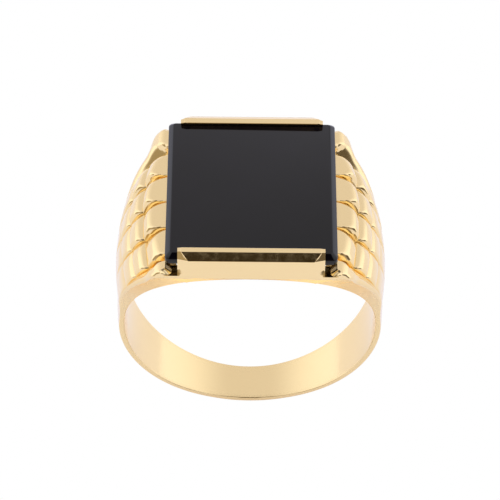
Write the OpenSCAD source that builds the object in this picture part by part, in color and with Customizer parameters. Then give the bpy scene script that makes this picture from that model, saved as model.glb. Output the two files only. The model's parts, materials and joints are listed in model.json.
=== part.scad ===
// Signet ring with a flat bevelled stone held by two folded bezel bars.
// Millimetres. The origin is the middle of the finger hole, +Y runs along the finger,
// +Z points up to the stone and +X to the wearer's right-hand shoulder.

/* [Finger hole and band] */
// Inside diameter of the ring
bore_d = 18.2; // [15:0.1:23]
// Width of the band at its lowest point
band_w = 3.3; // [2:0.1:5]
// Thickness of the band at its lowest point
band_t = 0.8; // [0.6:0.05:1.6]
// Width of the band level with the finger's middle
waist_w = 6.0; // [4:0.1:8]
// Wall between the finger hole and the widest point of the shoulders
side_t = 0.62; // [0.5:0.02:1.4]
// How round the band is across: radius of its outer face
band_dome_r = 14; // [10:0.5:40]

/* [Stone] */
// Stone across the finger
stone_x = 12; // [9:0.5:16]
// Stone along the finger
stone_y = 14; // [10:0.5:18]
// Thickness of the stone
stone_t = 1.14; // [1:0.02:2]
// Bevel round the top face
stone_bevel = 0.35; // [0.2:0.05:0.45]
// Bevel round the underside
stone_foot_bevel = 0.38; // [0.1:0.02:0.45]
// Radius of the stone's plan corners
stone_corner_r = 0.35; // [0.1:0.05:1]

/* [Head] */
// Seat plane of the stone above the top of the finger hole
seat_rise = 0.77; // [0.5:0.01:2]
// Width of the seat under each side edge of the stone
seat_ledge = 0.5; // [0.3:0.05:1.5]
// Thickness of the bezel bars
bar_t = 0.4; // [0.3:0.05:0.8]
// Gap between the stone and a bezel bar
stone_gap = 0.04; // [0.02:0.01:0.1]
// Stone corner left bare at each end of a bezel bar
corner_open = 0.88; // [0.6:0.01:2]
// Height of the folded lip over the stone
lip_h = 0.3; // [0.2:0.02:0.6]
// How far the lip reaches over the stone, from the stone's edge
lip_over = 0.58; // [0.4:0.02:1]
// Depth of the polished chamfer along the lip, measured inwards
lip_chamfer = 0.55; // [0.2:0.05:0.6]
// Height of a bezel bar's feet below the seat plane
foot_drop = 0.4; // [0.1:0.05:0.5]

/* [Shoulders] */
// Height of the shoulders' widest point above the finger's middle
widest_z = 3.465; // [2:0.005:5]
// Ground flat on the shoulder, from the stone's edge outwards
flat_x = 1.4; // [0.8:0.05:2]
// How far the shoulders' edges lie below their crown, because they are round across
shoulder_drop = 1.18; // [0.6:0.02:1.6]
// Height where the shoulders meet the band, above the finger's middle
join_z = 1.5; // [0.5:0.1:3]
// Distance below the seat where the flared sides become upright
flare_drop = 0.57; // [0.3:0.01:1.5]
// How fast the sides spread outwards where the flare ends
flare_slope = 0.71; // [0.5:0.01:1]
// Share of the shoulder's width taken by the bead columns
column_share = 0.713; // [0.5:0.001:0.8]
// Bead columns on each shoulder
columns = 4; // [2:1:6]
// Depth of the grooves between columns, beside the seat
groove_d = 1.1; // [0.4:0.05:1.3]
// Half of the grooves' included angle
groove_half_angle = 30; // [20:1:40]
// Arc from the seat down to the first notch across the columns
first_notch_arc = 6.6; // [4:0.1:10]
// Arc between one notch and the next
notch_arc = 9.3; // [6:0.1:14]
// Notches across the columns
notches = 3; // [1:1:4]
// Depth of the first notch
notch_d = 0.45; // [0.2:0.05:0.7]
// Half of the notches' included angle
notch_half_angle = 50; // [30:1:60]

/* [Hidden] */
$fn = 96;

gold = [0.93, 0.76, 0.45];
pale_gold = [0.95, 0.82, 0.55];
onyx = [0.07, 0.07, 0.08];

past = 1;                                   // how far cutters reach past what they cut
bore_r = bore_d / 2;
seat_z = bore_r + seat_rise;
stone_top = seat_z + stone_t;
bar_inner_y = stone_y / 2 + stone_gap;      // inner face of a bezel bar
head_half = bar_inner_y + bar_t;            // outer face of a bezel bar
wall_x = stone_x / 2 - seat_ledge;          // inner wall of the open head
bar_half = stone_x / 2 - corner_open;       // half length of a bezel bar
lip_z = stone_top + lip_h;
flare_z = seat_z - flare_drop;
flat_end = stone_x / 2 + flat_x;

// Shoulder arc, seen from the front: it is widest at the wall side_t and ends at the flat
arc_in = bore_r + side_t - flat_end;         // how far the flat's end lies inside the widest point
arc_z = widest_z;
shoulder_r = (pow(arc_in, 2) + pow(seat_z - arc_z, 2)) / (2 * arc_in);
arc_x = bore_r + side_t - shoulder_r;
seat_angle = asin((seat_z - arc_z) / shoulder_r);
edge_r = shoulder_r - shoulder_drop;         // the arc's radius at the head's outer faces
shoulder_dome_r = (pow(head_half, 2) + pow(shoulder_drop, 2)) / (2 * shoulder_drop);
join_angle = asin((join_z - arc_z) / shoulder_r);

// Band circle: it gives band_t at the bottom and meets the shoulder arc at the join
join_x = arc_x + shoulder_r * cos(join_angle);
band_low = bore_r + band_t;
band_centre_z = (pow(join_x, 2) + pow(join_z, 2) - pow(band_low, 2)) / (2 * (join_z + band_low));
band_r = band_low + band_centre_z;

taper = (waist_w - band_w) / 2 / bore_r;      // how fast the band widens upwards
fade_angle = join_angle + 5;                 // where the grooves run out to nothing
groove_over = 8;                             // degrees that a groove's wedge runs on past the seat
chamfer_fall = 0.35;                        // how far the lip's chamfer comes down the bar
foot_t = 0.15;                              // thickness of a bar's foot at its tip
foot_rise = 0.1;                            // how much the foot slopes up to the bar
foot_setback = 0.08;                        // keeps the foot's tip inside the cheek's corner
foot_inset = 0.35;                          // how far inside the bar's end the seam meets the finger hole
flare_steps = 10;                           // straight stretches in each flared side
groove_steps = 3;                           // straight stretches in each groove
border_shift = 0.06;                        // keeps a border groove's bottom off the seam it follows

// Half width of the ring at height z. It widens evenly up to the finger's middle and then along a
// cubic curve, which reaches the head's width at flare_z with the slope flare_slope
function half_width(z) =
    let (spread = head_half - waist_w / 2 - taper * flare_z,
         turn = (flare_slope - taper) * flare_z,
         t = z / flare_z)
    z > flare_z ? head_half
    : waist_w / 2 + taper * z + (z > 0 ? (3 * spread - turn) * t * t + (turn - 2 * spread) * t * t * t : 0);

// Half section of a domed ring: radius r in the middle, rounded across by dome_r in an odd number of steps
function dome_points(r, dome_r, half, steps) =
    [for (i = [0 : steps]) let (y = half * (2 * i / steps - 1))
        [r - dome_r + sqrt(pow(dome_r, 2) - pow(y, 2)), y]];

// Turns a shape drawn in X and Z, with its thickness along Y
module across(half) {
    rotate([90, 0, 0]) linear_extrude(height = 2 * half, center = true) children();
}

// Turns a shape drawn in Y and Z, with its thickness along X
module along(half) {
    rotate([90, 0, 90]) linear_extrude(height = 2 * half, center = true) children();
}

// Solid of revolution about a line along Y through [x, z]
module turned(x, z, points) {
    translate([x, 0, z]) rotate([-90, 0, 0]) rotate_extrude()
        polygon(concat([[0, points[0][1]]], points, [[0, points[len(points) - 1][1]]]));
}

// Edge of the flare in Y and Z, from the finger's middle up to flare_z
function flare_points(share, inset) =
    [for (i = [0 : flare_steps]) let (z = flare_z * i / flare_steps) [share * half_width(z) - inset, z]];

// Side outline of the ring in Y and Z, with its edges scaled by share
module side_outline(share) {
    low = -band_low - past;
    edge = concat([[share * half_width(low), low]], flare_points(share, 0),
                  [[share * head_half, lip_z + past]]);
    polygon(concat(edge, [for (i = [len(edge) - 1 : -1 : 0]) [-edge[i][0], edge[i][1]]]));
}

// Finger hole
module bore() {
    rotate([90, 0, 0]) cylinder(r = bore_r, h = 2 * (head_half + past), center = true, $fn = 180);
}

// Plain shoulder, before its columns and cheeks are parted. side is -1 left, 1 right
module shoulder_blank(side) {
    difference() {
        intersection() {
            turned(side * arc_x, arc_z,
                   dome_points(shoulder_r, shoulder_dome_r, head_half + past, 7));
            translate([side > 0 ? wall_x : -bore_d, -head_half - past, join_z])
                cube([bore_d - wall_x, 2 * (head_half + past), seat_z - join_z]);
            along(bore_d) side_outline(1);
        }
        bore();
    }
}

// Bottom of a groove at an angle of the shoulder arc, where share places it across the ring
function groove_point(side, share, angle) =
    let (depth = groove_d * (angle - fade_angle) / (seat_angle - fade_angle),
         r = shoulder_r - depth,
         z = arc_z + r * sin(angle))
    [side * (arc_x + r * cos(angle)), share * half_width(z), z];

// One V groove, open to the outside: a wedge that runs through stations along the arc
module groove(side, share, shift) {
    reach = groove_d + past;
    wide = reach * tan(groove_half_angle);
    step = (seat_angle + groove_over - join_angle) / groove_steps;
    rings = [for (j = [0 : groove_steps])
        let (angle = join_angle + j * step,
             p = groove_point(side, share, angle) + [0, shift, 0],
             out = reach * [side * cos(angle), 0, sin(angle)])
            [p, p + out + [0, wide, 0], p + out - [0, wide, 0]]];
    last = 3 * groove_steps;
    skin = [for (j = [0 : groove_steps - 1], k = [0 : 2])
        let (a = 3 * j + k, b = 3 * j + (k + 1) % 3)
            each [[a, a + 3, b + 3], [a, b + 3, b]]];
    faces = concat([[0, 1, 2]], skin, [[last + 2, last + 1, last]]);
    polyhedron([for (ring = rings) each ring],
               side < 0 ? faces : [for (f = faces) [f[2], f[1], f[0]]]);
}

// Grooves of one shoulder. The two at the borders are moved outwards by spread
module grooves(side, spread) {
    for (i = [0 : columns])
        groove(side, column_share * (2 * i / columns - 1), i == 0 ? -spread : i == columns ? spread : 0);
}

// V notches across the columns of one shoulder, shallower further down
module cross_notches(side) {
    for (i = [0 : notches - 1]) {
        angle = seat_angle - first_notch_arc - i * notch_arc;
        depth = notch_d * (1 - i / (notches + 1));
        wide = (depth + past) * tan(notch_half_angle);
        tip_r = shoulder_r - depth;
        translate([side * arc_x, 0, arc_z]) rotate([0, side > 0 ? -angle : 180 + angle, 0])
            across(head_half) polygon([[tip_r, 0], [tip_r + depth + past, wide],
                                       [tip_r + depth + past, -wide]]);
    }
}

// Relief panel with the bead columns, between the two cheeks of a shoulder
module scale_panel(side) {
    difference() {
        intersection() {
            shoulder_blank(side);
            along(bore_d) side_outline(column_share);
        }
        grooves(side, border_shift);
        cross_notches(side);
    }
}

// Smooth border of a shoulder. end is -1 front, 1 rear
module cheek(side, end) {
    difference() {
        intersection() {
            shoulder_blank(side);
            translate([-bore_d, end > 0 ? 0 : -head_half, 0])
                cube([2 * bore_d, head_half, seat_z]);
        }
        along(2 * bore_d) side_outline(column_share);
        grooves(side, -border_shift);
        bar_blank(end);
    }
}

// Bezel bar in the front view: a plate whose feet spread to the seams with the cheeks
module bar_front_outline() {
    foot_z = seat_z - foot_drop;
    foot_x = arc_x + sqrt(pow(edge_r, 2) - pow(foot_z - arc_z, 2)) - foot_setback;
    low_x = bar_half - foot_inset;
    low_z = sqrt(pow(bore_r, 2) - pow(low_x, 2)) - past;
    difference() {
        polygon([[-low_x, low_z], [low_x, low_z], [foot_x, foot_z - foot_t], [foot_x, foot_z],
                 [bar_half, foot_z + foot_rise], [bar_half, lip_z], [-bar_half, lip_z],
                 [-bar_half, foot_z + foot_rise], [-foot_x, foot_z], [-foot_x, foot_z - foot_t]]);
        circle(r = bore_r, $fn = 180);
    }
}

// Bezel bar in the side view, drawn for the rear: plate, chamfer and folded lip
module bar_side_outline() {
    lip_in = stone_y / 2 - lip_over;
    under = stone_top + stone_gap / 2;
    inside = flare_points(1, bar_t);
    polygon(concat(flare_points(1, 0),
                   [[head_half, lip_z - chamfer_fall], [head_half - lip_chamfer, lip_z],
                    [lip_in, lip_z], [lip_in, under], [bar_inner_y - stone_bevel, under],
                    [bar_inner_y, stone_top - stone_bevel]],
                   [for (i = [flare_steps : -1 : 0]) inside[i]]));
}

// Body of a bezel bar, also the pocket it takes in the cheeks. end is -1 front, 1 rear
module bar_blank(end) {
    intersection() {
        mirror([0, end > 0 ? 0 : 1, 0]) along(stone_x) bar_side_outline();
        across(2 * head_half) bar_front_outline();
    }
}

module shank_band() {
    color(gold) difference() {
        intersection() {
            turned(0, band_centre_z, dome_points(band_r, band_dome_r, waist_w / 2 + past, 5));
            translate([-bore_d, -waist_w / 2 - past, -bore_d])
                cube([2 * bore_d, waist_w + 2 * past, bore_d + join_z]);
            along(bore_d) side_outline(1);
        }
        bore();
    }
}

module left_scale_panel() { color(pale_gold) scale_panel(-1); }

module right_scale_panel() { color(pale_gold) scale_panel(1); }

module front_left_cheek() { color(gold) cheek(-1, -1); }

module front_right_cheek() { color(gold) cheek(1, -1); }

module rear_left_cheek() { color(gold) cheek(-1, 1); }

module rear_right_cheek() { color(gold) cheek(1, 1); }

module front_bezel_bar() { color(pale_gold) bar_blank(-1); }

module rear_bezel_bar() { color(pale_gold) bar_blank(1); }

// Stone outline, its edges moved in by inset
module stone_outline(inset) {
    x = stone_x / 2 - inset;
    y = stone_y / 2 - inset;
    r = stone_corner_r;
    square([2 * (x - r), 2 * y], center = true);
    square([2 * x, 2 * (y - r)], center = true);
    for (sx = [-1, 1], sy = [-1, 1]) translate([sx * (x - r), sy * (y - r)]) circle(r = r, $fn = 32);
}

// Flat stone with both bevels, as three slabs hulled in pairs
module stone_tablet() {
    skin = 0.01;
    color(onyx) {
        translate([0, 0, seat_z + stone_foot_bevel])
            linear_extrude(height = stone_t - stone_bevel - stone_foot_bevel) stone_outline(0);
        hull() {
            translate([0, 0, stone_top - stone_bevel - skin]) linear_extrude(height = skin) stone_outline(0);
            translate([0, 0, stone_top - skin]) linear_extrude(height = skin) stone_outline(stone_bevel);
        }
        hull() {
            translate([0, 0, seat_z]) linear_extrude(height = skin) stone_outline(stone_foot_bevel);
            translate([0, 0, seat_z + stone_foot_bevel]) linear_extrude(height = skin) stone_outline(0);
        }
    }
}

shank_band();
left_scale_panel();
right_scale_panel();
front_left_cheek();
front_right_cheek();
rear_left_cheek();
rear_right_cheek();
front_bezel_bar();
rear_bezel_bar();
stone_tablet();
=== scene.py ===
"""Gold signet ring with a black stone, modelled round its CAD frame.

Shapes are worked out in millimetres and made in metres, with angles in degrees. The finger hole runs along Y,
the stone faces +Z, and the front of the ring faces -Y. Each shoulder is a stack of rows, one for each angle
round the centre of its arc. A place along a row is a share of the row's half width, from -1 at the front
edge to 1 at the rear edge.
"""

import json
import math

import bmesh
import bpy
import numpy as np
from mathutils import Matrix, Vector


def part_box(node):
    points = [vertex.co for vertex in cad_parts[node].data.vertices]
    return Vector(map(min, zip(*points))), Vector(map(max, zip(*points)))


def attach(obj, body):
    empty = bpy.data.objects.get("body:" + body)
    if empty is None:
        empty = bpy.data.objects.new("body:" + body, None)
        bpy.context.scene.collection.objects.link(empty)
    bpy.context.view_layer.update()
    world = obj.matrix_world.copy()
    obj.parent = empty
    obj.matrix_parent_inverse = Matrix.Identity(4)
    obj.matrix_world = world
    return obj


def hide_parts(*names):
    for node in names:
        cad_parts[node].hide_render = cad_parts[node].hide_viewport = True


MM = 0.001
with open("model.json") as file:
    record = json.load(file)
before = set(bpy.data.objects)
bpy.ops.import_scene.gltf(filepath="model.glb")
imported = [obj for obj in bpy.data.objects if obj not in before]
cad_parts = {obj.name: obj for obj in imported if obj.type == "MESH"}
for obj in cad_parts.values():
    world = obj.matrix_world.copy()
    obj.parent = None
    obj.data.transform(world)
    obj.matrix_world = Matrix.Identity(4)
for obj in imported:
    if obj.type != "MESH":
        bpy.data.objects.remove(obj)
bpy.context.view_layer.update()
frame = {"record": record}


def node_box(node):
    """Lowest and highest corner of a CAD node, in millimetres."""
    return [[v / MM for v in corner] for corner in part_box(node)]


# ---- Sizes taken from the frame -------------------------------------------------------------------
STONE_HI = node_box("stone_tablet")[1]
BAR_HI = node_box("rear_bezel_bar")[1]
PANEL_LO, PANEL_HI = node_box("right_scale_panel")
BAND_LOW = -node_box("shank_band")[0][2]
BORE_R = frame["record"]["mounts"][0]["dims"]["r_mm"]
SEAT_Z = PANEL_HI[2]    # plane that the stone rests on
JOIN_Z = PANEL_LO[2]    # where the shoulders end and the band starts
WALL_X = PANEL_LO[0]    # inner wall of the open head
HEAD_HALF = BAR_HI[1]   # half width of the head along the finger
LIP_Z = BAR_HI[2]       # top of the bezel bars

# ---- Outline of the ring ----------------------------------------------------------------------------
SIDE_WALL = 0.62        # gold outside the finger hole where the shoulders are widest
WIDEST_Z = 3.465        # height of the widest point
FLAT_X = 1.4            # ground flat outside the stone
WAIST_HALF = 3.0        # half width of the ring level with the finger's middle
BAND_HALF = 1.65        # half width of the band at the bottom
BAND_BOW = 0.14         # how much fuller than a straight taper the lower band is
FLARE_DROP = 0.57       # the sides reach the head this far below the stone's seat
FLARE_SLOPE = 0.71      # spread of the sides where they reach the head
DROP_HEAD = 0.0213      # fall of the outer face across the ring, per square millimetre, on the shoulders
DROP_LOW = 0.14         # the same at the bottom of the band
FLAT_SOFT = 0.42        # how softly the ground flats roll over
WAIST_SOFT = 0.45       # how softly the shoulders run into the band
FLAT_ROWS = 20          # rows above this angle meet the flats, and rows below the next run into the band
WAIST_ROWS = 12
EDGE_ROUND = 0.28       # rounding of the rails' outer edges
BAND_ROUND = 0.12       # the same on the band
ROUND_TOP = 20          # angle where the one starts to turn into the other, and over how many degrees
ROUND_FADE = 30
INNER_ROUND = 0.09      # rounding of the inner edges, and how much more there is at the bottom
INNER_LOW = 0.2
ROUND_MOST = 2.6        # an inner edge's rounding is at most the wall's thickness divided by this

# ---- Bead columns and rails -------------------------------------------------------------------------
COLUMNS = 4
LEAN = {-1: -0.045, 1: -0.018}  # the columns sit a little forward of the middle, more on the left
PANEL_SHARE = 0.72      # share of the width taken by the bead columns beside the stone
PANEL_ANGLE = 44        # below this angle the share grows, by this much a degree, up to the most
PANEL_SPREAD = 0.0059
PANEL_MOST = 0.92
SKIN_DEPTH = 0.6        # usual depth of the skin below its arc, where a row's width is taken
GROOVE_D = 1.2          # depth of the grooves beside the stone
GROOVE_TOP = 46.0       # angle where the grooves are this deep
GROOVE_END = -4.0       # angle where they have run out
GROOVE_MOST = 1.1       # they stop deepening this far up, as a share of the way between the two
GROOVE_FADE = 2.1       # power by which they fade: 1 is evenly
FRONT_POWER, REAR_POWER = 14, 2.1   # section of a column: 2 is a half round, more is fuller
TUCK = 0.25             # how much lower a column is behind than in front, as scales are
TUCK_POWER = 1.5
FIRST_NOTCH = 33.2      # angle of the first notch across the columns
NOTCH_STEP = 9.3
NOTCHES = 4
FIRST_BEAD = 1.9        # length of the first and last beads, in notch steps
LAST_BEAD = 1.3
BEAD_END = 0.60         # fall at a bead's end as a share of the groove's depth
BEAD_POWER = 3.2        # how suddenly a bead falls at its ends
RAIL_WALL = 0.85        # width of the rail's own groove wall, with its thin ridge
RAIL_WALL_MOST = 0.75   # the most it takes of the rail
RAIL_T = [0, 0.07, 0.13, 0.19, 0.25, 0.32, 0.40, 0.5, 0.62, 0.8, 1]     # places across that wall
RAIL_FALL = [1, 0.84, 0.70, 0.70, 0.84, 0.88, 0.72, 0.5, 0.28, 0.08, 0]     # its fall there, in groove depths
RAIL_REST = [0.06, 0.12, 0.2, 0.28, 0.36, 0.44, 0.52, 0.6, 0.68, 0.75, 0.81, 0.86, 0.895, 0.925, 0.95, 0.97,
             0.985, 0.995, 1]   # stations across the rest of a rail, closer where its edge rounds over
RAIL_LIFT = 0.45        # how far the rails' outer edges rise again beside the head
LIFT_SHARE = 0.74       # share of the width where that rise starts
LIFT_START, LIFT_END = 30, 39       # angles over which it comes in

# ---- Front and rear corners of the head -------------------------------------------------------------
POCKET_DROP = 0.42      # depth of the open notch under each stone corner
POCKET_X = 5.93         # outer end of the notch, and where it starts along the finger
POCKET_Y = 6.2
INNER_DROP = 0.12       # how far below the notch the open head's inner wall starts
POCKET_WALL = 0.06      # width over which the notch's outer end rises, and how far it starts outside
POCKET_WALL_OUT = 0.05
POCKET_STEP = 0.12      # the same for its inner side
ROLL_IN, ROLL_OUT = 5.3, 6.5        # the rail's front edge rolls over between these, most at the inner one
ROLL_MOST = 1.5         # how far past the outer one the roll is followed
ROLL_DEPTH = 0.42       # it starts this far behind the face, and is whole after the span
ROLL_SPAN = 0.4
CORNER_ROWS = 25        # rows below this angle don't reach the notch
CORNER_PASSES = 8
FOOT_WALL = 0.45        # depth of the wall that comes in under a foot, and width of its step
FOOT_STEP = 0.15
FOOT_GAP = 0.02         # gap between that wall and the seam

# ---- Bezel bars -------------------------------------------------------------------------------------
BAR_HALF = 5.12         # half length of a bar's lip
BAR_T = 0.4
PROUD = 0.03            # how far a bar stands proud of the cheeks
LIP_IN = 6.42           # inner edge of the lip
LIP_GAP = 0.02          # gap between the lip and the stone
LIP_SOFT = 0.06         # rounding of the lip's inner edge
CHAMFER_IN = 0.55       # chamfer along the lip
CHAMFER_FALL = 0.35
BAR_SOFT = 0.035        # rounding of the bar's edges
END_DEPTH = 0.36        # depth of the filed bevel at each end of a bar
END_POWER = 0.8
END_RISE = 0.5          # height above the foot over which the bevel reaches that depth
END_STEPS = (0.06, 0.2, 0.4, 0.6, 0.8, 0.92, 1)
END_EDGE = (4.62, 4.36, 4.86)       # the bevel starts here at the foot, below the chamfer and at the lip
END_LEAST = 0.1         # least length of the bevel
CHAMFER_PULL, CHAMFER_SINK, LIP_SINK = 0.35, 0.4, 0.12      # shares of its depth by which it moves them
FOOT_X = 6.05           # tips of a bar's feet, where the seams with the cheeks start
FOOT_RISE = 0.07        # height of a foot's tip
FOOT_SLOPE = 0.35       # fall of a foot's top towards the stone
LOW_X = 4.5             # where the seams meet the finger hole
HAIR, FINE = 0.001, 0.01            # smallest steps between points that bound a ledge

# ---- Stone ------------------------------------------------------------------------------------------
STONE_BEVEL = 0.35
STONE_FOOT = 0.38
STONE_CORNER = 0.35     # rounding of its plan corners, how a bevel takes from it, and the least
CORNER_TAKE = 0.4
CORNER_LEAST = 0.12
STONE_SOFT = 0.03       # rounding of its edges

# ---- Mesh stations ----------------------------------------------------------------------------------
COLUMN_N = 34           # across a column
FIRST_ROWS = 64         # rows from the inner wall to the first notch
BEAD_ROWS = 30          # rows in each bead below it
BAND_ROWS = 150
BAND_PASSES = 4
SIDE_N = 14             # on a side face, the last ones round its inner edge
ROUND_N = 4
FACE_N = 20             # along half a bar's plain face
LOW_N, FRONT_N, CHAMFER_N, LIP_N, BACK_N = 15, 7, 6, 4, 8   # round a bar, from the hole's edge and back
STONE_N = 8             # round a corner of the stone
CREASE = 24             # faces that meet at more than this angle show an edge

# ---- Colours ----------------------------------------------------------------------------------------
GOLD = (1.0, 0.78, 0.40)
GOLD_DEEP = (0.97, 0.74, 0.355)
ONYX = (0.001, 0.001, 0.002)
ONYX_PALE = (0.004, 0.003, 0.007)
BUMP_HEIGHT = 0.00002   # metres
FLOOR_HALF = 400.0
FLOOR_DROP = 0.02       # gap between the ring and the floor
SKY = (1.0, 1.0, 1.2)
# Parts of the sky: direction, colour, and the angles from it where the colour starts to fade and is gone.
REAR = ((0, 0.75, 0.65), (0.79, 0.775, 0.88), 20, 60)
RIGHT = ((1, 0.1, 0.35), (1.2, 1.24, 1.45), 15, 60)
LEFT = ((-1, 0.1, 0.35), (1.2, 1.24, 1.45), 15, 60)
FRONT = ((0, -0.85, 0.52), (0.34, 0.27, 0.18), 18, 46)
FRONT_HIGH = ((0, -0.71, 0.70), (0.05, 0.04, 0.03), 12, 26)
FRONT_TOP = ((0, -0.40, 0.91), (0.03, 0.022, 0.012), 14, 26)
FRONT_LEFT = ((-0.78, -0.55, 0.28), (0.38, 0.32, 0.24), 14, 34)
FRONT_RIGHT = ((0.77, -0.60, 0.18), (0.12, 0.10, 0.08), 16, 34)

# ---- Worked out from the above ----------------------------------------------------------------------
ARC_IN = BORE_R + SIDE_WALL - (STONE_HI[0] + FLAT_X)
ARC_R = (ARC_IN**2 + (SEAT_Z - WIDEST_Z) ** 2) / (2 * ARC_IN)
ARC_X = BORE_R + SIDE_WALL - ARC_R
ARC_Z = WIDEST_Z
ARC_TOP = math.degrees(math.atan2(SEAT_Z - ARC_Z, WALL_X - ARC_X))
FLARE_Z = SEAT_Z - FLARE_DROP
TAPER = (WAIST_HALF - BAND_HALF) / BORE_R
JOIN_ANGLE = math.degrees(math.asin((JOIN_Z - ARC_Z) / ARC_R))
JOIN_X = ARC_X + ARC_R * math.cos(math.radians(JOIN_ANGLE))
BAND_CZ = (JOIN_X**2 + JOIN_Z**2 - BAND_LOW**2) / (2 * (JOIN_Z + BAND_LOW))
BAND_R = BAND_LOW + BAND_CZ
NOTCH_ANGLES = [FIRST_NOTCH - NOTCH_STEP * k for k in range(NOTCHES)]
BEAD_TOP = FIRST_NOTCH + FIRST_BEAD * NOTCH_STEP
BEAD_LOW = NOTCH_ANGLES[-1] - LAST_BEAD * NOTCH_STEP
BEAD_MARKS = [BEAD_TOP] + NOTCH_ANGLES + [BEAD_LOW]
POCKET_Z = SEAT_Z - POCKET_DROP
INNER_TOP = POCKET_Z - INNER_DROP
CORNER_Z = math.sqrt(BORE_R**2 - WALL_X**2)     # where that wall meets the finger hole
FOOT_TIP = POCKET_Z
FOOT_TOP = FOOT_TIP + FOOT_RISE
LOW_Z = math.sqrt(BORE_R**2 - LOW_X**2)
ROUND_SPAN = (SIDE_N - ROUND_N) / ROUND_N * math.pi / 2


# ---- Shape functions --------------------------------------------------------------------------------
def smooth_max(a, b, k):
    """The larger of a and b, rounded over a difference of k."""
    h = np.clip(k - np.abs(a - b), 0, None) / k
    return np.maximum(a, b) + h * h * k / 4


def smooth_min(a, b, k):
    """The smaller of a and b, rounded over a difference of k."""
    return -smooth_max(-a, -b, k)


def smooth_step(t):
    """0 below 0, 1 above 1, and a smooth rise between."""
    t = np.clip(t, 0, 1)
    return t * t * (3 - 2 * t)


def half_width(z):
    """Half width of the ring at height z: a straight taper, a flare at the head and a slight bow below."""
    z = np.asarray(z, float)
    spread = HEAD_HALF - WAIST_HALF - TAPER * FLARE_Z
    turn = (FLARE_SLOPE - TAPER) * FLARE_Z
    t = np.clip(z / FLARE_Z, 0, 1)
    low = np.clip(-z / BORE_R, 0, 1)
    base = WAIST_HALF + TAPER * np.minimum(z, FLARE_Z)
    flare = (3 * spread - turn) * t**2 + (turn - 2 * spread) * t**3
    bow = 27 / 4 * low**2 * (1 - low)       # 1 at its fullest
    return base + flare + BAND_BOW * bow


def shoulder_reach(phi, y):
    """Distance from the finger's middle to the shoulder arc along phi, an angle in radians."""
    r = ARC_R - DROP_HEAD * y**2
    along = ARC_X * np.cos(phi) + ARC_Z * np.sin(phi)
    return along + np.sqrt(r**2 - (ARC_X**2 + ARC_Z**2 - along**2))


def band_reach(phi, y):
    """Distance from the finger's middle to the band's outer face along phi, an angle in radians."""
    low = smooth_step(-phi / (math.pi / 2))
    r = BAND_R - (DROP_HEAD + (DROP_LOW - DROP_HEAD) * low) * y**2
    along = BAND_CZ * np.sin(phi)
    return along + np.sqrt(r**2 - (BAND_CZ**2 - along**2))


def blend_waist(x, z, y):
    """Fills the waist between shoulder and band, so that they run on smoothly."""
    phi = np.arctan2(z, x)
    reach = smooth_max(np.hypot(x, z), band_reach(phi, y), WAIST_SOFT)
    return reach * np.cos(phi), reach * np.sin(phi)


def edge_fall(share, width, radius):
    """Rounding of an outer edge: how far the face falls near a share of 1."""
    inside = (1 - np.abs(share)) * width
    t = np.clip(1 - inside / radius, 0, 1)
    return radius * (1 - np.sqrt(1 - t * t))


def groove_depth(angle):
    """Depth of the grooves in a row, which fade out down the shoulder."""
    t = np.clip((angle - GROOVE_END) / (GROOVE_TOP - GROOVE_END), 0, None)
    return float(GROOVE_D * np.minimum(t, GROOVE_MOST) ** GROOVE_FADE)


def bead_profile(angle):
    """0 at the middle of a bead and 1 at its notches. The first and last beads have one notch each."""
    out = 0.0
    for upper, lower in zip(BEAD_MARKS[:-1], BEAD_MARKS[1:]):
        if lower <= angle <= upper:
            u = (2 * angle - upper - lower) / (upper - lower)
            if (upper == BEAD_TOP and u > 0) or (lower == BEAD_LOW and u < 0):
                return 0.0
            out = abs(u) ** BEAD_POWER
    return out


def panel_share(angle):
    """Share of a row's width that the bead columns take."""
    return min(PANEL_SHARE + PANEL_SPREAD * max(PANEL_ANGLE - angle, 0), PANEL_MOST)


def rail_width(edge, width):
    """Width of the rail's own groove wall, for a rail that starts at the share edge."""
    return min(RAIL_WALL, RAIL_WALL_MOST * (1 - edge) * width)


def row_width(angle):
    """Half width of a row."""
    return float(half_width(ARC_Z + (ARC_R - SKIN_DEPTH) * math.sin(math.radians(angle))))


def column_fall(angle, shares, lean, depth):
    """Fall of the bead columns below the arc: their round sections, grooves and notches."""
    panel = panel_share(angle)
    v = ((shares - lean + panel) / (panel / COLUMNS)) % 2 - 1
    power = np.where(v < 0, FRONT_POWER, REAR_POWER)
    round_fall = 1 - np.sqrt(np.clip(1 - np.abs(v) ** power, 0, 1))
    tuck = TUCK * ((v + 1) / 2) ** TUCK_POWER
    end_fall = BEAD_END * depth * bead_profile(angle) * (1 - round_fall)
    return np.minimum(depth * (round_fall + tuck * (1 - round_fall)) + end_fall, depth)


def rail_fall(angle, shares, lean, depth):
    """Fall of the rails below the arc: each one's groove wall, with its thin ridge."""
    width, panel = row_width(angle), panel_share(angle)
    past = np.abs(shares) - panel - lean * np.sign(shares)
    fall = np.zeros_like(shares)
    for sign in (-1, 1):
        t = np.clip(past * width / rail_width(panel + sign * lean, width), 0, 1)
        fall = np.where(shares * sign > 0, np.interp(t, RAIL_T, RAIL_FALL), fall)
    return depth * fall


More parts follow.
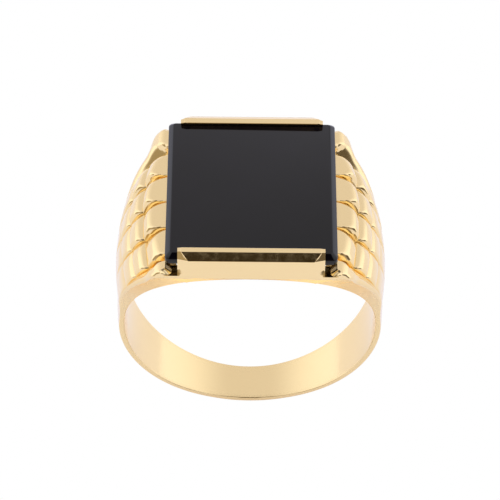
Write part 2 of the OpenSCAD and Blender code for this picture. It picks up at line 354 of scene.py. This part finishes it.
def skin_radius(angle, shares, lean):
    """Radius of the shoulder's skin about its arc's centre. lean moves the columns along the ring."""
    width = row_width(angle)
    depth = groove_depth(angle) if angle > GROOVE_END else 0.0
    size = np.abs(shares)
    on_columns = size - panel_share(angle) - lean * np.sign(shares) < 0
    at = angle, shares, lean, depth
    fall = np.where(on_columns, column_fall(*at), rail_fall(*at))
    lift_in = smooth_step((angle - LIFT_START) / (LIFT_END - LIFT_START))
    lift = RAIL_LIFT * np.clip((size - LIFT_SHARE) / (1 - LIFT_SHARE), 0, 1) * lift_in
    rounding = EDGE_ROUND + (BAND_ROUND - EDGE_ROUND) * smooth_step((ROUND_TOP - angle) / ROUND_FADE)
    arc = ARC_R - DROP_HEAD * (shares * width) ** 2
    radius = arc - fall + lift - edge_fall(shares, width, rounding)
    if angle > FLAT_ROWS:
        radius = smooth_min(radius, (SEAT_Z - ARC_Z) / math.sin(math.radians(angle)), FLAT_SOFT)
    return radius


def row_shares(angle, lean):
    """Stations of a row, from the front edge to the rear edge."""
    width, panel = row_width(angle), panel_share(angle)

    def rail(edge):
        wall = rail_width(edge, width) / width
        near = [edge + wall * t for t in RAIL_T]
        return near + [near[-1] + (1 - near[-1]) * t for t in RAIL_REST]

    pitch = 2 * panel / COLUMNS
    inner = [lean - panel]
    for k in range(COLUMNS):
        for i in range(1, COLUMN_N + 1):
            inner.append(lean - panel + pitch * (k + 0.5 - 0.5 * math.cos(math.pi * i / COLUMN_N)))
    front, rear = rail(panel - lean), rail(panel + lean)
    return np.array([-t for t in front[:0:-1]] + inner + rear[1:])


def corner_radius(angle, shares, radius):
    """Radius at the head's corners: the rail's edge rolls over, and a notch opens under the stone."""
    a = math.radians(angle)
    y = np.abs(shares) * half_width(ARC_Z + radius * math.sin(a))
    low = radius
    for _ in range(CORNER_PASSES):
        x = ARC_X + low * math.cos(a)
        t = np.clip((x - ROLL_IN) / (ROLL_OUT - ROLL_IN), 0, ROLL_MOST)
        roll = POCKET_DROP * (1 - t**2) * smooth_step((y - HEAD_HALF + ROLL_DEPTH) / ROLL_SPAN)
        pocket = POCKET_DROP * smooth_step((POCKET_X + POCKET_WALL_OUT - x) / POCKET_WALL)
        pocket = pocket * smooth_step((y - POCKET_Y) / POCKET_STEP)
        low = (SEAT_Z - np.maximum(roll, pocket) - ARC_Z) / math.sin(a)
    return np.minimum(radius, low)


def shoulder_outer(side, angle):
    """Outer points of a shoulder row, in X, Y and Z. side is -1 left, 1 right."""
    shares = row_shares(angle, LEAN[side])
    radius = skin_radius(angle, shares, LEAN[side])
    if angle >= CORNER_ROWS:
        radius = corner_radius(angle, shares, radius)
    a = math.radians(angle)
    x, z = ARC_X + radius * math.cos(a), ARC_Z + radius * math.sin(a)
    y = shares * half_width(z)
    if angle < WAIST_ROWS:
        x, z = blend_waist(x, z, y)
        y = shares * half_width(z)
    return side * x, y, z


def shoulder_angles():
    """Angles of the rows, from the inner wall under the stone down to the join, with each notch on a row."""
    marks = [ARC_TOP] + NOTCH_ANGLES + [JOIN_ANGLE]
    rows = []
    for a, b in zip(marks[:-1], marks[1:]):
        n = BEAD_ROWS if rows else FIRST_ROWS
        rows += [a + (b - a) * i / n for i in range(n)]
    return rows + [JOIN_ANGLE]


def inner_point(angle):
    """Point of the inner surface, in X and Z, that goes with a row at this angle."""
    if angle >= FIRST_NOTCH:
        t = (ARC_TOP - angle) / (ARC_TOP - FIRST_NOTCH)
        return WALL_X, INNER_TOP + (CORNER_Z - INNER_TOP) * t
    t = (FIRST_NOTCH - angle) / (FIRST_NOTCH - JOIN_ANGLE)
    first, last = math.asin(CORNER_Z / BORE_R), math.asin(JOIN_Z / BORE_R)
    phi = first + (last - first) * t
    return BORE_R * math.cos(phi), BORE_R * math.sin(phi)


def inner_round(z):
    """Rounding of the inner edges at height z."""
    return INNER_ROUND + INNER_LOW * float(smooth_step(-z / BORE_R))


def seam_x(z):
    """Where the seam between a bar and a cheek lies at height z."""
    return LOW_X + (FOOT_X - LOW_X) * (z - LOW_Z) / (FOOT_TIP - LOW_Z)


def under_foot(x, z):
    """Brings the open head's wall in under a bar's foot, down to the finger hole."""
    if abs(abs(x) - WALL_X) > 1e-6:
        return x
    bore_x = math.sqrt(max(BORE_R**2 - z**2, 0))
    return math.copysign(min(max(seam_x(z) + FOOT_GAP, bore_x), WALL_X), x)


# ---- Meshes -----------------------------------------------------------------------------------------
def side_points(edge, sign, inner_x, inner_z):
    """Points of a side face, from its outer edge in to the inner edge. sign is -1 front, 1 rear."""
    ex, ez = edge[0], edge[2]
    thick = math.hypot(ex - inner_x, ez - inner_z)
    r = min(inner_round(inner_z), thick / ROUND_MOST)
    points = []
    for i in range(1, SIDE_N):
        flat = i / (SIDE_N - ROUND_N)
        d = thick * (1 - flat) + r * flat if flat <= 1 else r * (1 - math.sin((flat - 1) * ROUND_SPAN))
        x, z = inner_x + (ex - inner_x) * d / thick, inner_z + (ez - inner_z) * d / thick
        fall = r - math.sqrt(max(r * r - max(r - d, 0) ** 2, 0))
        points.append((x, sign * (float(half_width(z)) - fall), z))
    return points


def section_loop(outer, inner_x, inner_z):
    """Closed loop round the metal: outer skin front to rear, rear side, inner face, front side."""
    skin = list(zip(*outer))
    y = outer[1]
    inner_half = float(half_width(inner_z)) - inner_round(inner_z)
    shares = np.clip(y / max(abs(y[0]), abs(y[-1])), -1, 1)[::-1]
    foot_x = under_foot(inner_x, inner_z)
    near = smooth_step((np.abs(shares) * inner_half - inner_half + FOOT_WALL) / FOOT_STEP)
    inner = [(inner_x + (foot_x - inner_x) * t, s * inner_half, inner_z) for s, t in zip(shares, near)]
    rear = side_points(skin[-1], 1, foot_x, inner_z)
    front = side_points(skin[0], -1, foot_x, inner_z)
    return skin + rear + inner + front[::-1]


def make_piece(name, verts, faces):
    """Mesh object from points in millimetres."""
    mesh = bpy.data.meshes.new(name)
    mesh.from_pydata([[c * MM for c in v] for v in verts], [], faces)
    mesh.validate()
    piece = bpy.data.objects.new(name, mesh)
    bpy.context.scene.collection.objects.link(piece)
    return piece


def wrap_faces(loops):
    """Faces between each loop and the next."""
    n = len(loops[0])
    faces = []
    for r in range(len(loops) - 1):
        a, b = r * n, (r + 1) * n
        faces += [(a + i, a + (i + 1) % n, b + (i + 1) % n, b + i) for i in range(n)]
    return faces


def section_mesh(name, loops, columns):
    """Closed mesh through section loops whose skin has this many columns. Side faces get material 1."""
    n = len(loops[0])
    faces = wrap_faces(loops)
    wrapped = len(faces)
    for base, flip in ((0, False), ((len(loops) - 1) * n, True)):
        inner = [base + columns + SIDE_N - 1 + columns - 1 - i for i in range(columns)]
        caps = [(base + i, inner[i], inner[i + 1], base + i + 1) for i in range(columns - 1)]
        rear = [base + columns + k for k in reversed(range(SIDE_N - 1))]
        front = [base + n - 1 - k for k in range(SIDE_N - 1)]
        caps += [(base + columns - 1, inner[-1], *rear), (inner[0], base, *front)]
        faces += [face[::-1] for face in caps] if flip else caps
    piece = make_piece(name, [p for loop in loops for p in loop], faces)
    for k, polygon in enumerate(piece.data.polygons[:wrapped]):
        i = k % n
        polygon.material_index = int(columns - 1 <= i < columns + SIDE_N - 1 or i >= n - SIDE_N)
    return piece


def loop_mesh(name, loops, parts=None):
    """Closed mesh through loops. Each end is closed by one face, or by the faces that parts lists."""
    n = len(loops[0])
    faces = wrap_faces(loops)
    for part in parts or [list(range(n))]:
        faces.append(tuple(part))
        faces.append(tuple((len(loops) - 1) * n + i for i in reversed(part)))
    return make_piece(name, [p for loop in loops for p in loop], faces)


def outward(piece):
    """Turns every face outwards."""
    bm = bmesh.new()
    bm.from_mesh(piece.data)
    bmesh.ops.remove_doubles(bm, verts=bm.verts, dist=1e-7)
    bmesh.ops.recalc_face_normals(bm, faces=bm.faces)
    bm.to_mesh(piece.data)
    bm.free()


def finish_piece(piece, materials, nodes):
    """Shades a piece, gives it its materials, and ties it to the frame in place of its CAD nodes."""
    outward(piece)
    piece.data.shade_smooth()
    piece.data.set_sharp_from_angle(angle=math.radians(CREASE))
    for material in materials:
        piece.data.materials.append(material)
    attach(piece, "root")
    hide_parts(*nodes)


# ---- Shoulders and band -----------------------------------------------------------------------------
def shoulder(side, name):
    """One shoulder, with its bead columns, its rails and the flat beside the stone."""
    loops = []
    for angle in shoulder_angles():
        outer = shoulder_outer(side, angle)
        x, z = inner_point(angle)
        loops.append(section_loop(outer, side * x, z))
    return section_mesh(name, loops, len(outer[0]))


def band():
    """Band from the right-hand join, round the bottom, to the left-hand join."""
    ends = {side: shoulder_outer(side, JOIN_ANGLE) for side in (1, -1)}
    row = {side: row_shares(JOIN_ANGLE, LEAN[side]) for side in (1, -1)}
    start_x, _, start_z = ends[1]
    phi_start = np.arctan2(start_z, start_x)
    inner_start = math.asin(JOIN_Z / BORE_R)
    loops = []
    for i in range(BAND_ROWS + 1):
        t = 2 * i / BAND_ROWS
        side = 1 if t <= 1 else -1
        shares = row[1] + (row[-1] - row[1]) * t / 2
        down = t if t <= 1 else 2 - t
        phi = phi_start + (-math.pi / 2 - phi_start) * down
        inner = inner_start + (-math.pi / 2 - inner_start) * down
        y = shares * half_width(start_z)
        for _ in range(BAND_PASSES):
            reach = smooth_max(band_reach(phi, y), shoulder_reach(phi, y), WAIST_SOFT)
            reach = reach - edge_fall(shares, half_width(reach * np.sin(phi)), BAND_ROUND)
            y = shares * half_width(reach * np.sin(phi))
        outer = (side * reach * np.cos(phi), y, reach * np.sin(phi))
        if i in (0, BAND_ROWS):
            outer = ends[side]
        loops.append(section_loop(outer, side * BORE_R * math.cos(inner), BORE_R * math.sin(inner)))
    return section_mesh("band", loops, len(start_x))


# ---- Bezel bars -------------------------------------------------------------------------------------
def bar_columns():
    """Stations along a bar: side, share of the plain face, share of the end's bevel, depth of the bevel."""
    half = [(i / FACE_N, 0.0, 0.0) for i in range(1, FACE_N + 1)]
    half += [(1.0, t, END_DEPTH * t**END_POWER) for t in END_STEPS]
    return [(-1, *c) for c in half[::-1]] + [(1, 0.0, 0.0, 0.0)] + [(1, *c) for c in half]


def bar_x(sign, share, bevel, z):
    """Where a station of the bar lies at height z: the bevel's edge slants, and the foot spreads."""
    edge = float(np.interp(z, [FOOT_TOP, LIP_Z - CHAMFER_FALL, LIP_Z], END_EDGE))
    end = BAR_HALF if z > FOOT_TOP else FOOT_X if z > FOOT_TIP else max(seam_x(z), LOW_X)
    edge = min(edge, end - END_LEAST)
    return sign * (share * edge + bevel * (end - edge))


def bar_profile(x, depth):
    """Section of a bar near x, in Y and Z: up the outer face, over the lip and down inside.

    Also gives the places in it of the outer and inner points that start the part above the foot.
    """
    face = HEAD_HALF + PROUD
    bore_z = math.sqrt(BORE_R**2 - min(abs(x), LOW_X) ** 2)
    chamfer_in = HEAD_HALF - CHAMFER_IN - depth * CHAMFER_PULL
    chamfer_z = LIP_Z - CHAMFER_FALL - depth * CHAMFER_SINK
    lip_z = LIP_Z - depth * LIP_SINK
    soft = BAR_SOFT
    points = []
    for i in range(LOW_N + 1):
        z = bore_z + (FOOT_TIP - FINE - bore_z) * i / LOW_N
        points.append((float(half_width(z)) + PROUD, z))
    points += [(face, FOOT_TIP + FINE), (face, FOOT_TOP), (face, FOOT_TOP + HAIR)]
    above_out = len(points) - 1
    for i in range(1, FRONT_N + 1):
        z = FOOT_TOP + (chamfer_z - soft - FOOT_TOP) * i / FRONT_N
        points.append((face - depth * float(smooth_step((z - FOOT_TOP) / END_RISE)), z))
    face -= depth
    points += [(face - soft * 0.3, chamfer_z - soft * 0.2), (face - soft * 0.8, chamfer_z + soft * 0.5)]
    for i in range(1, CHAMFER_N):
        t = i / CHAMFER_N
        points.append((face + (chamfer_in - face) * t, chamfer_z + (lip_z - chamfer_z) * t))
    points += [(chamfer_in + soft * 0.6, lip_z - soft * 0.45), (chamfer_in, lip_z - soft * 0.1)]
    lip_start, lip_end = chamfer_in - soft, LIP_IN + LIP_SOFT
    points += [(lip_start + (lip_end - lip_start) * i / LIP_N, lip_z) for i in range(LIP_N)]
    points += [(lip_end, lip_z - LIP_SOFT / 15), (LIP_IN + LIP_SOFT / 3, lip_z - LIP_SOFT / 3)]
    points.append((LIP_IN, lip_z - LIP_SOFT))
    back = HEAD_HALF - BAR_T
    points += [(LIP_IN, STONE_HI[2] + LIP_GAP), (back - STONE_BEVEL, STONE_HI[2] + LIP_GAP)]
    points += [(back, STONE_HI[2] - STONE_BEVEL), (back, FOOT_TOP + HAIR)]
    above_in = len(points) - 1
    ledge_z = FOOT_TOP - FOOT_SLOPE
    points.append((back, ledge_z))
    for i in range(1, BACK_N + 1):
        z = ledge_z + (bore_z - ledge_z) * i / BACK_N
        points.append((float(half_width(z)) - BAR_T, z))
    return points, above_out, above_in


def bar(end, name):
    """Folded plate: outer face, chamfer, lip, and its inner face. end is -1 front, 1 rear."""
    loops = []
    for sign, share, bevel, depth in bar_columns():
        profile, above_out, above_in = bar_profile(bar_x(sign, share, bevel, LOW_Z), depth)
        loops.append([(bar_x(sign, share, bevel, z), end * y, z) for y, z in profile])
    below = list(range(above_out)) + list(range(above_in + 1, len(profile)))
    ledge = [above_out - 1, above_out, above_in, above_in + 1]
    above = list(range(above_out, above_in + 1))
    return loop_mesh(name, loops, [below, ledge, above])


# ---- Stone ------------------------------------------------------------------------------------------
def stone_levels():
    """Heights of the stone's outlines and how far each is inset, with each edge slightly rounded."""
    soft = STONE_SOFT
    top = STONE_HI[2]
    foot = SEAT_Z + STONE_FOOT
    bevel = top - STONE_BEVEL
    return [(SEAT_Z, STONE_FOOT + soft), (SEAT_Z + soft * 0.3, STONE_FOOT + soft * 0.1),
            (SEAT_Z + soft, STONE_FOOT - soft),
            (foot - soft, soft), (foot, soft * 0.25), (foot + soft, 0.0),
            (bevel - soft, 0.0), (bevel, soft * 0.25), (bevel + soft, soft),
            (top - soft, STONE_BEVEL - soft), (top - soft * 0.3, STONE_BEVEL + soft * 0.1),
            (top, STONE_BEVEL + soft)]


def stone():
    """Flat tablet: rounded plan corners, top bevel, upright sides and foot bevel, as stacked outlines."""
    loops = []
    for z, inset in stone_levels():
        half_x, half_y = STONE_HI[0] - inset, STONE_HI[1] - inset
        r = max(STONE_CORNER - inset * CORNER_TAKE, CORNER_LEAST)
        loop = []
        for sx, sy, start in ((1, 1, 0), (-1, 1, 90), (-1, -1, 180), (1, -1, 270)):
            for i in range(STONE_N + 1):
                a = math.radians(start + 90 * i / STONE_N)
                loop.append((sx * (half_x - r) + r * math.cos(a), sy * (half_y - r) + r * math.sin(a), z))
        loops.append(loop)
    return loop_mesh("stone", loops)


# ---- Materials --------------------------------------------------------------------------------------
def shader(name, base, metallic, roughness):
    """A material with its node tree and Principled shader."""
    material = bpy.data.materials.new(name)
    material.use_nodes = True
    tree = material.node_tree
    principled = tree.nodes["Principled BSDF"]
    principled.inputs["Base Color"].default_value = (*base, 1)
    principled.inputs["Metallic"].default_value = metallic
    principled.inputs["Roughness"].default_value = roughness
    return material, tree, principled


def noise(tree, scale, detail):
    """Noise in the object's own coordinates."""
    coords = tree.nodes.new("ShaderNodeTexCoord")
    texture = tree.nodes.new("ShaderNodeTexNoise")
    texture.inputs["Scale"].default_value = scale
    texture.inputs["Detail"].default_value = detail
    tree.links.new(coords.outputs["Object"], texture.inputs["Vector"])
    return texture.outputs["Fac"]


def ranged(tree, value, low, high):
    """Spreads the middle of a noise's values over a range."""
    node = tree.nodes.new("ShaderNodeMapRange")
    node.inputs["From Min"].default_value = 0.3
    node.inputs["From Max"].default_value = 0.7
    node.inputs["To Min"].default_value = low
    node.inputs["To Max"].default_value = high
    tree.links.new(value, node.inputs["Value"])
    return node.outputs["Result"]


def mixed(tree, value, a, b):
    """Colour between a and b by value."""
    node = tree.nodes.new("ShaderNodeMix")
    node.data_type = "RGBA"
    node.inputs["A"].default_value = (*a, 1)
    node.inputs["B"].default_value = (*b, 1)
    tree.links.new(value, node.inputs["Factor"])
    return node.outputs["Result"]


def bumped(tree, principled, height, strength):
    """Fine bump from a height."""
    bump = tree.nodes.new("ShaderNodeBump")
    bump.inputs["Strength"].default_value = strength
    bump.inputs["Distance"].default_value = BUMP_HEIGHT
    tree.links.new(height, bump.inputs["Height"])
    tree.links.new(bump.outputs["Normal"], principled.inputs["Normal"])


def gold_material(name, rough_low, rough_high, bump, scale):
    """Gold: slight colour drift, uneven polish and fine wear."""
    material, tree, principled = shader(name, GOLD, metallic=1.0, roughness=rough_low)
    drift = noise(tree, scale=180, detail=3)
    fine = noise(tree, scale, detail=5)
    tree.links.new(mixed(tree, drift, GOLD, GOLD_DEEP), principled.inputs["Base Color"])
    tree.links.new(ranged(tree, fine, rough_low, rough_high), principled.inputs["Roughness"])
    bumped(tree, principled, fine, bump)
    return material


def onyx_material():
    """Polished black stone with a faint haze."""
    material, tree, principled = shader("black_onyx", ONYX, metallic=0.0, roughness=0.06)
    principled.inputs["IOR"].default_value = 1.43
    principled.inputs["Specular Tint"].default_value = (1, 0.98, 0.84, 1)
    haze = noise(tree, scale=350, detail=4)
    tree.links.new(ranged(tree, haze, 0.05, 0.10), principled.inputs["Roughness"])
    tree.links.new(mixed(tree, haze, ONYX, ONYX_PALE), principled.inputs["Base Color"])
    return material


# ---- Floor, light and camera ------------------------------------------------------------------------
def white_to_camera(tree, lit, white, surface):
    """Sends what is lit to the surface, and plain white where the camera sees it directly."""
    light_path = tree.nodes.new("ShaderNodeLightPath")
    mix = tree.nodes.new("ShaderNodeMixShader")
    tree.links.new(light_path.outputs["Is Camera Ray"], mix.inputs["Fac"])
    tree.links.new(lit, mix.inputs[1])
    tree.links.new(white, mix.inputs[2])
    tree.links.new(mix.outputs["Shader"], surface)


def floor():
    """Plain pale floor just under the ring."""
    low = -BAND_LOW - FLOOR_DROP
    corners = ((-1, -1), (1, -1), (1, 1), (-1, 1))
    verts = [(sx * FLOOR_HALF, sy * FLOOR_HALF, low) for sx, sy in corners]
    piece = make_piece("floor", verts, [(0, 1, 2, 3)])
    material, tree, principled = shader("pale_floor", (0.62, 0.62, 0.62), metallic=0.0, roughness=0.9)
    principled.inputs["Emission Color"].default_value = (1.0, 1.0, 1.25, 1)
    principled.inputs["Emission Strength"].default_value = 0.45
    white = tree.nodes.new("ShaderNodeEmission")
    surface = tree.nodes["Material Output"].inputs["Surface"]
    white_to_camera(tree, principled.outputs["BSDF"], white.outputs["Emission"], surface)
    piece.data.materials.append(material)


def add_part(tree, sky_colour, direction, colour, inner, outer):
    """Blends a colour into the sky round a direction, whole within inner degrees and gone at outer."""
    coords = tree.nodes.new("ShaderNodeTexCoord")
    dot = tree.nodes.new("ShaderNodeVectorMath")
    dot.operation = "DOT_PRODUCT"
    dot.inputs[1].default_value = Vector(direction).normalized()
    tree.links.new(coords.outputs["Generated"], dot.inputs[0])
    span = tree.nodes.new("ShaderNodeMapRange")
    span.interpolation_type = "SMOOTHSTEP"
    span.inputs["From Min"].default_value = math.cos(math.radians(outer))
    span.inputs["From Max"].default_value = math.cos(math.radians(inner))
    tree.links.new(dot.outputs["Value"], span.inputs["Value"])
    mix = tree.nodes.new("ShaderNodeMix")
    mix.data_type = "RGBA"
    mix.inputs["B"].default_value = (*colour, 1)
    tree.links.new(span.outputs["Result"], mix.inputs["Factor"])
    tree.links.new(sky_colour, mix.inputs["A"])
    return mix.outputs["Result"]


def sky():
    """White light tent: bright sides, a softer rear, and dark openings in front."""
    world = bpy.data.worlds.new("tent")
    bpy.context.scene.world = world
    world.use_nodes = True
    tree = world.node_tree
    background = tree.nodes["Background"]
    base = tree.nodes.new("ShaderNodeRGB")
    base.outputs[0].default_value = (*SKY, 1)
    colour = base.outputs[0]
    for part in (REAR, RIGHT, LEFT, FRONT, FRONT_HIGH, FRONT_TOP, FRONT_LEFT, FRONT_RIGHT):
        colour = add_part(tree, colour, *part)
    tree.links.new(colour, background.inputs["Color"])
    white = tree.nodes.new("ShaderNodeBackground")
    white.inputs["Color"].default_value = (1, 1, 1, 1)
    surface = tree.nodes["World Output"].inputs["Surface"]
    white_to_camera(tree, background.outputs["Background"], white.outputs["Background"], surface)


def camera():
    """Long lens, a little to the left of the front and looking down."""
    elevation, azimuth, roll = math.radians(44.457), math.radians(0.414), math.radians(0.839)
    distance, target = 224.64, Vector((-0.05, 0, 4.78))
    level = math.cos(elevation)
    forward = Vector((math.sin(azimuth) * level, math.cos(azimuth) * level, -math.sin(elevation)))
    right = forward.cross(Vector((0, 0, 1))).normalized()
    up = right.cross(forward)
    turned_right = math.cos(roll) * right + math.sin(roll) * up
    turned_up = -math.sin(roll) * right + math.cos(roll) * up
    axes = Matrix((turned_right, turned_up, -forward)).transposed().to_4x4()
    data = bpy.data.cameras.new("camera")
    data.lens, data.sensor_width = 224.3, 36.0
    data.clip_start, data.clip_end = 0.001, 10.0
    holder = bpy.data.objects.new("camera", data)
    bpy.context.scene.collection.objects.link(holder)
    holder.matrix_world = Matrix.Translation((target - forward * distance) * MM) @ axes
    bpy.context.scene.camera = holder


# ---- The ring ---------------------------------------------------------------------------------------
polished = gold_material("polished_gold", rough_low=0.12, rough_high=0.20, bump=0.10, scale=900)
satin = gold_material("satin_gold", rough_low=0.24, rough_high=0.34, bump=0.10, scale=900)
worn = gold_material("worn_gold", rough_low=0.10, rough_high=0.22, bump=0.45, scale=2600)

finish_piece(shoulder(-1, "left_shoulder"), [polished, satin],
             ["left_scale_panel", "front_left_cheek", "rear_left_cheek"])
finish_piece(shoulder(1, "right_shoulder"), [polished, satin],
             ["right_scale_panel", "front_right_cheek", "rear_right_cheek"])
finish_piece(band(), [polished, satin], ["shank_band"])
finish_piece(bar(-1, "front_bar"), [worn], ["front_bezel_bar"])
finish_piece(bar(1, "rear_bar"), [worn], ["rear_bezel_bar"])
finish_piece(stone(), [onyx_material()], ["stone_tablet"])

floor()
sky()
camera()
bpy.context.scene.view_settings.view_transform = "Standard"
